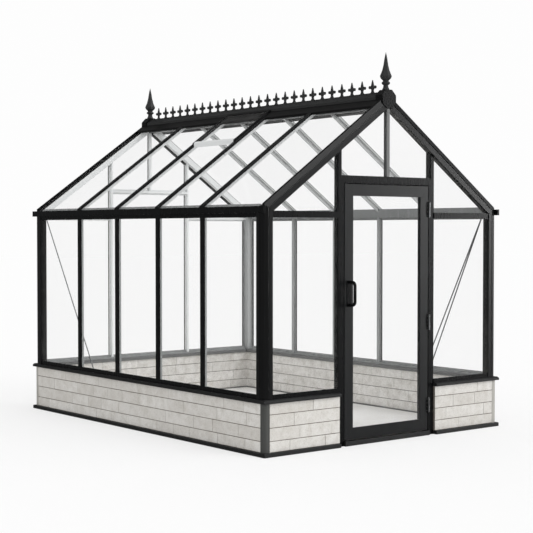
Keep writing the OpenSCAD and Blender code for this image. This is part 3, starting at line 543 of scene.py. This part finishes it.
# %% Many blocks at once
def blocks(low, high, chamfer):
    """Boxes from low to high (N by 3): point = middle + sign * (half size - chamfer off its own face)."""
    middle, half = (low + high) / 2, (high - low) / 2
    kept = half[:, None, :] - chamfer[:, None, None] * (1 - np.tile(AXES, (len(CORNERS), 1)))[None]
    points = middle[:, None, :] + np.repeat(CORNERS, 3, axis=0)[None] * kept
    return points.reshape(-1, 3), repeated(block_faces, len(low), len(BLOCK_POINTS))


# %% [markdown]
# ## Lay the plinth
# The plinth is one block thick and four courses high, with thin joints. The blocks in a course are of
# uneven length, and each course starts at another place than the one below it, so the upright joints
# seldom meet. The solids give the walls' places: outer face, foot and top. A core of dark mortar, set
# back behind the faces, shows in the joints.

# %% Courses and joints of the plinth
side_low, side_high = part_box("side_plinths")
end_low, end_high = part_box("end_plinths")
trim_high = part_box("plinth_corner_posts")[1]
door_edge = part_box("door_jambs")[1].x
foot, top = side_low.z, side_high.z
WALL_T, TRIM = 0.075, 0.048
BED, JOINT = 0.005, 0.0028
COURSES = foot + (top - foot) * np.array([0, 0.229, 0.5, 0.771, 1])
SHORTEST, LONGEST, USUAL, LEAST_END = 0.21, 0.46, 0.34, 0.09
FIRST_SHIFT, NEXT_SHIFT = 0.06, 0.11
rng = np.random.default_rng(11)
print("courses at", COURSES.round(3))


def course_cuts(start, end, shift):
    """Cuts one course into uneven steps from a shifted start, and drops a cut that lies close to an end."""
    steps = rng.uniform(SHORTEST, LONGEST, max(2, round((end - start) / USUAL) + 1))
    cuts = np.concatenate([[0.0], np.cumsum(steps)]) - shift
    cuts = cuts[(cuts > LEAST_END) & (cuts < end - start - LEAST_END)]
    return np.concatenate([[start], start + cuts, [end]])


# %% All blocks of one wall
UNEVEN = 0.0012


def wall_blocks(start, end, along, near, far):
    """Every block of a wall from start to end along axis 0 or 1, between two planes on the other axis."""
    lows, highs = [], []
    for k in range(len(COURSES) - 1):
        cuts = course_cuts(start, end, FIRST_SHIFT + NEXT_SHIFT * (k % 2))
        n = len(cuts) - 1
        low, high = np.empty((n, 3)), np.empty((n, 3))
        low[:, along], high[:, along] = cuts[:-1] + JOINT / 2, cuts[1:] - JOINT / 2
        low[:, 1 - along] = near + rng.uniform(0, UNEVEN, n)
        high[:, 1 - along] = far - rng.uniform(0, UNEVEN, n)
        low[:, 2], high[:, 2] = COURSES[k] + BED / 2, COURSES[k + 1] - BED / 2
        lows.append(low)
        highs.append(high)
    return np.concatenate(lows), np.concatenate(highs)


# %% Blocks and mortar of the walls
SMALL_CHAMFER, LARGE_CHAMFER = 0.0008, 0.002
SET_BACK, CORE_END = 0.0045, 0.001


def lay(name, walls, node):
    """Lays the blocks of some walls in place of a plain solid, with a core of mortar behind their faces."""
    low, high = (np.concatenate(part) for part in zip(*[wall_blocks(*w) for w in walls]))
    points, faces = blocks(low, high, rng.uniform(SMALL_CHAMFER, LARGE_CHAMFER, len(low)))
    piece = make_piece(name + "_blocks", points, faces, block_face, "house")
    tone = piece.data.attributes.new("tone", "FLOAT", "POINT")
    tones = np.repeat(rng.uniform(0, 1, len(low)), len(BLOCK_POINTS))
    tone.data.foreach_set("value", tones.astype(np.float32))
    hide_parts(node)
    core_low, core_high = np.empty((len(walls), 3)), np.empty((len(walls), 3))
    for i, (start, end, along, near, far) in enumerate(walls):
        core_low[i, along], core_high[i, along] = start + CORE_END, end - CORE_END
        core_low[i, 1 - along], core_high[i, 1 - along] = near + SET_BACK, far - SET_BACK
        core_low[i, 2], core_high[i, 2] = foot, top
    core_points, core_faces = blocks(core_low, core_high, np.full(len(walls), CORE_END))
    make_piece(name + "_mortar", core_points, core_faces, mortar, "house")


run_y = trim_high.y - TRIM
run_x = trim_high.x - TRIM
lay("side_plinth", [(-run_y, run_y, 1, side_low.x, side_low.x + WALL_T),
                    (-run_y, run_y, 1, side_high.x - WALL_T, side_high.x)], "side_plinths")
lay("end_plinth", [(-run_x, run_x, 0, end_high.y - WALL_T, end_high.y),
                   (-run_x, -door_edge, 0, end_low.y, end_low.y + WALL_T),
                   (door_edge, run_x, 0, end_low.y, end_low.y + WALL_T)], "end_plinths")

# %% [markdown]
# ## Bolts and screws
# Dome-headed bolts hold the stays, and flat-headed screws hold the hinge plates. Both are turned shapes:
# a profile of radius against height, carried once round an axis. A cylinder from the menu would do for
# one of them, but here all the points of a whole set are worked out in one array.

# %% Turned heads, repeated over a list of places
def turned(profile, places, axis, sides):
    """Turns (radius, height) pairs: point = place + height * axis + radius * (cos t * u + sin t * v)."""
    profile, places, axis = np.asarray(profile, float), np.asarray(places, float), np.asarray(axis, float)
    u = AXES[np.argmin(np.abs(axis))]
    v = np.cross(axis, u)
    t = np.arange(sides) * 2 * math.pi / sides
    ring = np.cos(t)[:, None] * u + np.sin(t)[:, None] * v
    one = profile[:, 1, None, None] * axis + profile[:, 0, None, None] * ring[None]
    points = (places[:, None, None, :] + one[None]).reshape(-1, 3)
    i, j = np.meshgrid(np.arange(len(profile) - 1), np.arange(sides), indexing="ij")
    k = (j + 1) % sides
    quads = np.stack([i * sides + j, i * sides + k, (i + 1) * sides + k, (i + 1) * sides + j], -1)
    cap = (len(profile) - 1) * sides + np.arange(sides)
    return points, repeated([*quads.reshape(-1, 4), cap], len(places), len(profile) * sides)


DOME = [(0.009, 0), (0.009, 0.0015), (0.0082, 0.0038), (0.0058, 0.0056), (0.0026, 0.0064)]
SCREW = [(0.0042, 0), (0.0042, 0.0006), (0.0036, 0.0012), (0.0014, 0.0013)]
print("heads: bolts", 2000 * DOME[0][0], "mm and screws", 2000 * SCREW[0][0], "mm across")

# %% [markdown]
# ## Where the bolts go
# A stay ends in a round eye, and a bolt sits in the middle of each. The eyes' middles lie one radius in
# from the ends of the solid, so the places are read off the solid's own points. Each end is measured from
# both sides: one eye gives the same middle twice, which is kept once, and two eyes give two.

# %% Bolts on the stays
STAY_R = 0.012
BOLT_SIDES = 12
stay_xyz = np.array([v.co for v in nodes["wall_stays"].data.vertices])
for side, label in ((-1, "left"), (1, "right")):
    mine = stay_xyz[stay_xyz[:, 0] * side > 0]
    face_x = mine[:, 0][np.argmin(np.abs(mine[:, 0]))]
    top_z, low_z = mine[:, 2].max() - STAY_R, mine[:, 2].min() + STAY_R
    upper = mine[mine[:, 2] > top_z]
    lower = mine[mine[:, 2] < low_z]
    ends = np.array([[face_x, y, z] for p, z in ((upper, top_z), (lower, low_z))
                     for y in np.unique(np.round([p[:, 1].min() + STAY_R, p[:, 1].max() - STAY_R], 3))])
    points, faces = turned(DOME, ends, (-side, 0, 0), BOLT_SIDES)
    make_piece(f"{label}_stay_bolts", points, faces, zinc, "house", smooth=True)

# %% [markdown]
# ## Where the screws go
# Each hinge plate has four screws in a row near its free edge. The plates' edges and ends are read off
# the solids, so the screws follow if a hinge moves. The door's screws ride the door and the jamb's ride
# the house.

# %% Screws in the hinge plates
FROM_EDGE = 0.009
SCREW_ROW = (-0.045, -0.015, 0.015, 0.045)
SCREW_SIDES = 10
for node, body in (("door_hinges", "door"), ("jamb_hinges", "house")):
    xyz = np.array([v.co for v in nodes[node].data.vertices])
    side = -1 if body == "door" else 1
    edge = xyz[:, 0].min() if side < 0 else xyz[:, 0].max()
    plate = xyz[np.abs(xyz[:, 0] - edge) < SAME_POINT]
    face_y = plate[:, 1].min()
    ends = np.unique(plate[:, 2].round(5))
    middles = (ends[0::2] + ends[1::2]) / 2
    places = np.array([[edge - side * FROM_EDGE, face_y, z + dz] for z in middles for dz in SCREW_ROW])
    points, faces = turned(SCREW, places, (0, -1, 0), SCREW_SIDES)
    make_piece(f"{node}_screws", points, faces, zinc, body, smooth=True)

# %% [markdown]
# ## White studio
# The greenhouse stands in a white studio. The world is an even white dome that is a little dimmer as a
# lamp than it looks to the camera. A mirror sees it much dimmer still, or the black frame would turn
# grey. A room of real walls could do the same, but an even dome has no corners that show in the panes.

# %% White world
LAMP, GLOSS, SEEN = 0.96, 0.12, 0.985
scene = bpy.context.scene
scene.view_settings.view_transform = "Standard"
world = bpy.data.worlds.new("white_studio")
scene.world = world
world.use_nodes = True
world.node_tree.nodes.clear()
path = add(world, "LightPath").outputs
lit = add(world, "MapRange", {"Value": path["Is Glossy Ray"], "To Min": LAMP, "To Max": GLOSS})
level = add(world, "MapRange", {
    "Value": path["Is Camera Ray"], "To Min": lit.outputs["Result"], "To Max": SEEN})
dome = add(world, "Background", {"Color": (1, 1, 1, 1), "Strength": level.outputs["Result"]})
add(world, "OutputWorld", {"Surface": dome.outputs["Background"]})
print("world: lamp", LAMP, "mirror", GLOSS, "camera", SEEN)

# %% [markdown]
# ## White floor
# The floor is a wide sheet of white paper that fades into the dome. Paper alone would look grey beside
# the dome, so to the camera a part of it glows as bright as the dome, and the rest is left to take the
# shadow. Mirrors see the floor as dim as the dome.

# %% Floor sheet
PAPER, GLOW_SHARE = 0.85, 0.6
REACH, UNDER = 60.0, -0.0005
floor_paper = new_material("white_paper_floor")
paper = add(floor_paper, "BsdfDiffuse", {"Color": (PAPER, PAPER, PAPER, 1)})
glow = add(floor_paper, "Emission", {"Color": (1, 1, 1, 1), "Strength": SEEN})
dim = add(floor_paper, "Emission", {"Color": (1, 1, 1, 1), "Strength": GLOSS})
path = add(floor_paper, "LightPath").outputs
share = add(floor_paper, "MapRange", {"Value": path["Is Camera Ray"], "To Max": GLOW_SHARE})
sheet = add(floor_paper, "MixShader", {
    0: share.outputs["Result"], 1: paper.outputs["BSDF"], 2: glow.outputs["Emission"]})
ground = add(floor_paper, "MixShader", {
    0: path["Is Glossy Ray"], 1: sheet.outputs["Shader"], 2: dim.outputs["Emission"]})
add(floor_paper, "OutputMaterial", {"Surface": ground.outputs["Shader"]})
floor_mesh = bpy.data.meshes.new("floor")
floor_mesh.from_pydata([(REACH * x, REACH * y, UNDER) for x, y in SQUARE], [], [(0, 1, 2, 3)])
floor_mesh.materials.append(floor_paper)
floor = bpy.data.objects.new("floor", floor_mesh)
scene.collection.objects.link(floor)
print("floor:", 2 * REACH, "m square")

# %% [markdown]
# ## Lamps
# Three broad lamps add to the dome. The key lamp stands high before the door's gable: it gives the brick
# ends their lighter side and the floor a faint shadow. The edge lamp stands low on the right, so that its
# soft highlight runs down the front face of the right post. The rafter lamp does the same for the front
# rafters. A sun lamp has no place, only a direction and a spread, so the light is even over the whole
# house.

# %% Three lamps
def lamp(name, energy, spread, turn):
    data = bpy.data.lights.new(name, "SUN")
    data.energy = energy
    data.angle = math.radians(spread)
    made = bpy.data.objects.new(name, data)
    made.rotation_euler = [math.radians(v) for v in turn]
    scene.collection.objects.link(made)
    print(name, "energy", energy, "spread", spread)


lamp("key", energy=0.65, spread=25, turn=(42, 0, 28))
lamp("edge", energy=0.85, spread=14, turn=(88, 0, 61))
lamp("rafter", energy=0.2, spread=14, turn=(62, 0, 25))

# %% [markdown]
# ## Camera
# The camera stands at eye height before the left front corner, and a long lens keeps the uprights nearly
# parallel. Its place, its heading and its focal length, in pixels of a square picture, come from fitting
# the solids' corners to the photograph's.

# %% Camera of the photograph
FOCAL_PX, PICTURE_PX, SENSOR_MM = 1300.97, 533, 36
PLACE = (-7.0004, -8.9191, 1.6234)
TILT_DOWN, HEADING_RIGHT = 1.5736, 38.646
camera_data = bpy.data.cameras.new("camera")
camera_data.sensor_width = SENSOR_MM
camera_data.lens = FOCAL_PX / PICTURE_PX * SENSOR_MM
camera_data.clip_end = 200
camera = bpy.data.objects.new("camera", camera_data)
camera.location = PLACE
camera.rotation_euler = (math.radians(90 - TILT_DOWN), 0, math.radians(-HEADING_RIGHT))
scene.collection.objects.link(camera)
scene.camera = camera
print("camera: lens", round(camera_data.lens, 1), "mm, at", PLACE)
